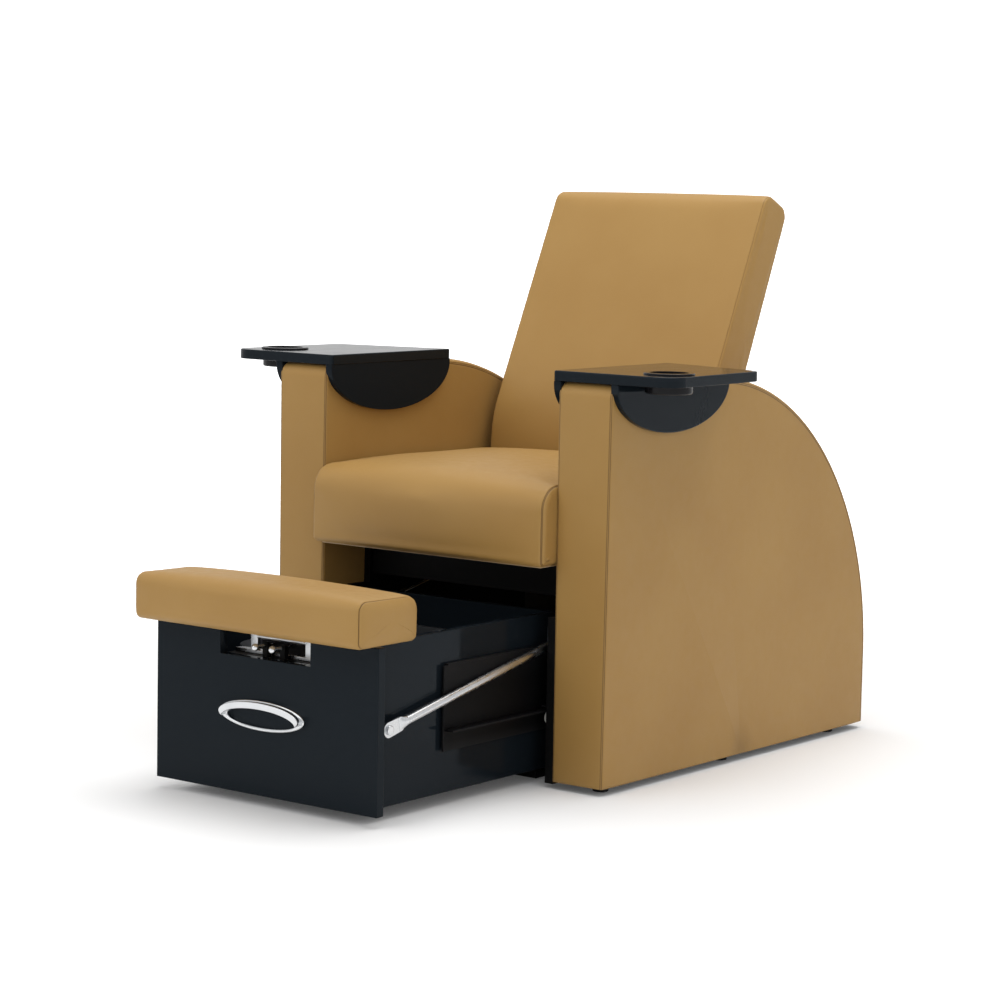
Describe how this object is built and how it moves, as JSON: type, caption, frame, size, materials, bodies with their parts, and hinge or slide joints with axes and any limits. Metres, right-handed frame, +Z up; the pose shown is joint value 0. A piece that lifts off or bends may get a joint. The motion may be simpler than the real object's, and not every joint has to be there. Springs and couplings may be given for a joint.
{
  "type": "pedicure spa chair",
  "caption": "Upholstered pedicure chair with quarter-round arms, side trays with cup wells, a reclining back and a pull-out foot-bath drawer topped by a height-adjustable footrest.",
  "frame": {"origin": "on the floor, under the middle of the whole object's box with the drawer fully open", "axes": "+Z up, the sitter faces -Y, +X is the sitter's left-hand arm (the right-hand arm seen from the front)"},
  "size_m": [0.9926, 1.3734, 1.0292],
  "materials": {
    "leather": "smooth tan upholstery leather, satin",
    "plywood": "bare plywood",
    "black_gloss": "black gloss lacquer on board",
    "black_satin": "black satin laminate on board",
    "black_plastic": "moulded black plastic",
    "black_steel": "black powder coat on steel",
    "nylon": "moulded nylon",
    "basin_grey": "moulded dark grey plastic",
    "chrome": "bright chrome plate"
  },
  "bodies": {
    "chassis": {"left_arm_cover": "leather", "right_arm_cover": "leather", "left_arm_core": "plywood", "right_arm_core": "plywood", "feet": "black_plastic", "left_tray_top": "black_gloss", "right_tray_top": "black_gloss", "left_tray_inner_apron": "black_gloss", "right_tray_inner_apron": "black_gloss", "left_tray_outer_apron": "black_gloss", "right_tray_outer_apron": "black_gloss", "left_cup_holder": "black_plastic", "right_cup_holder": "black_plastic", "button_screws": "chrome", "left_side_liner": "black_satin", "right_side_liner": "black_satin", "seat_rails": "black_satin", "base_board": "black_satin", "stretchers": "plywood", "rear_panel": "leather", "seat_board": "plywood", "seat_cushion": "leather", "catch_plates": "chrome", "recline_brackets": "black_steel", "recline_pins": "chrome", "left_fixed_rail": "black_steel", "right_fixed_rail": "black_steel", "strut_anchors": "black_steel"},
    "back_rest": {"back_cushion": "leather", "back_board": "plywood", "back_cover": "leather", "recline_arms": "black_steel"},
    "drawer": {"drawer_front": "black_gloss", "left_drawer_side": "black_gloss", "right_drawer_side": "black_gloss", "drawer_back": "black_gloss", "drawer_floor": "black_gloss", "foot_basin": "basin_grey", "pull_handle": "chrome", "guide_block": "black_satin", "guide_bar": "chrome", "inner_rails": "black_steel", "strut_pins": "chrome"},
    "footrest": {"lift_frame": "chrome", "lock_plate": "black_steel", "footrest_board": "plywood", "footrest_cushion": "leather"},
    "left_middle_slide": {"left_middle_slide": "black_steel"},
    "left_front_roller": {"left_front_roller": "nylon"},
    "left_rear_roller": {"left_rear_roller": "nylon"},
    "left_release_pin": {"left_release_pin": "chrome"},
    "left_strut_tube": {"left_strut_tube": "chrome"},
    "left_strut_rod": {"left_strut_rod": "chrome"},
    "right_middle_slide": {"right_middle_slide": "black_steel"},
    "right_front_roller": {"right_front_roller": "nylon"},
    "right_rear_roller": {"right_rear_roller": "nylon"},
    "right_release_pin": {"right_release_pin": "chrome"},
    "right_strut_tube": {"right_strut_tube": "chrome"},
    "right_strut_rod": {"right_strut_rod": "chrome"}
  },
  "joints": [
    {"name": "drawer_slide", "type": "slide", "parent": "chassis", "child": "drawer", "axis": [0, -1, 0], "range_m": [-0.45, 0]},
    {"name": "footrest_lift", "type": "slide", "parent": "drawer", "child": "footrest", "axis": [0, 0, 1], "range_m": [0, 0.06]},
    {"name": "back_recline", "type": "hinge", "parent": "chassis", "child": "back_rest", "pos_m": [0, 0.36675, 0.44], "axis": [-1, 0, 0], "range_deg": [0, 30]},
    {"name": "left_release_pull", "type": "slide", "parent": "drawer", "child": "left_release_pin", "axis": [0, -1, 0], "range_m": [0, 0.006], "stiffness_N_per_m": 600},
    {"name": "left_middle_travel", "type": "slide", "parent": "chassis", "child": "left_middle_slide", "axis": [0, -1, 0], "range_m": [-0.3065, 0]},
    {"name": "left_front_roller_spin", "type": "hinge", "parent": "chassis", "child": "left_front_roller", "pos_m": [-0.235, -0.16025, 0.11805], "axis": [1, 0, 0], "range_deg": [-1462, 0]},
    {"name": "left_rear_roller_spin", "type": "hinge", "parent": "left_middle_slide", "child": "left_rear_roller", "pos_m": [-0.23, 0.02175, 0.11805], "axis": [1, 0, 0], "range_deg": [-1462, 0]},
    {"name": "left_strut_swing", "type": "hinge", "parent": "drawer", "child": "left_strut_tube", "pos_m": [-0.231, -0.59825, 0.156], "axis": [1, 0, 0], "range_deg": [0, 9.41]},
    {"name": "left_strut_stroke", "type": "slide", "parent": "left_strut_tube", "child": "left_strut_rod", "axis": [0, 0.9798, 0.1999], "range_m": [-0.434, 0]},
    {"name": "right_release_pull", "type": "slide", "parent": "drawer", "child": "right_release_pin", "axis": [0, -1, 0], "range_m": [0, 0.006], "stiffness_N_per_m": 600},
    {"name": "right_middle_travel", "type": "slide", "parent": "chassis", "child": "right_middle_slide", "axis": [0, -1, 0], "range_m": [-0.3065, 0]},
    {"name": "right_front_roller_spin", "type": "hinge", "parent": "chassis", "child": "right_front_roller", "pos_m": [0.235, -0.16025, 0.11805], "axis": [1, 0, 0], "range_deg": [-1462, 0]},
    {"name": "right_rear_roller_spin", "type": "hinge", "parent": "right_middle_slide", "child": "right_rear_roller", "pos_m": [0.23, 0.02175, 0.11805], "axis": [1, 0, 0], "range_deg": [-1462, 0]},
    {"name": "right_strut_swing", "type": "hinge", "parent": "drawer", "child": "right_strut_tube", "pos_m": [0.231, -0.59825, 0.156], "axis": [1, 0, 0], "range_deg": [0, 9.41]},
    {"name": "right_strut_stroke", "type": "slide", "parent": "right_strut_tube", "child": "right_strut_rod", "axis": [0, 0.9798, 0.1999], "range_m": [-0.434, 0]}
  ],
  "couplings": [
    {"joint": "left_middle_travel", "follows": "drawer_slide", "ratio": 0.68},
    {"joint": "left_front_roller_spin", "follows": "drawer_slide", "rad_per_m": 56.667},
    {"joint": "left_rear_roller_spin", "follows": "drawer_slide", "rad_per_m": 56.667},
    {"joint": "left_strut_swing", "follows": "drawer_slide", "rad_per_m": -0.36423},
    {"joint": "left_strut_stroke", "follows": "drawer_slide", "ratio": 0.96339},
    {"joint": "right_middle_travel", "follows": "drawer_slide", "ratio": 0.68},
    {"joint": "right_front_roller_spin", "follows": "drawer_slide", "rad_per_m": 56.667},
    {"joint": "right_rear_roller_spin", "follows": "drawer_slide", "rad_per_m": 56.667},
    {"joint": "right_strut_swing", "follows": "drawer_slide", "rad_per_m": -0.36423},
    {"joint": "right_strut_stroke", "follows": "drawer_slide", "ratio": 0.96339}
  ]
}
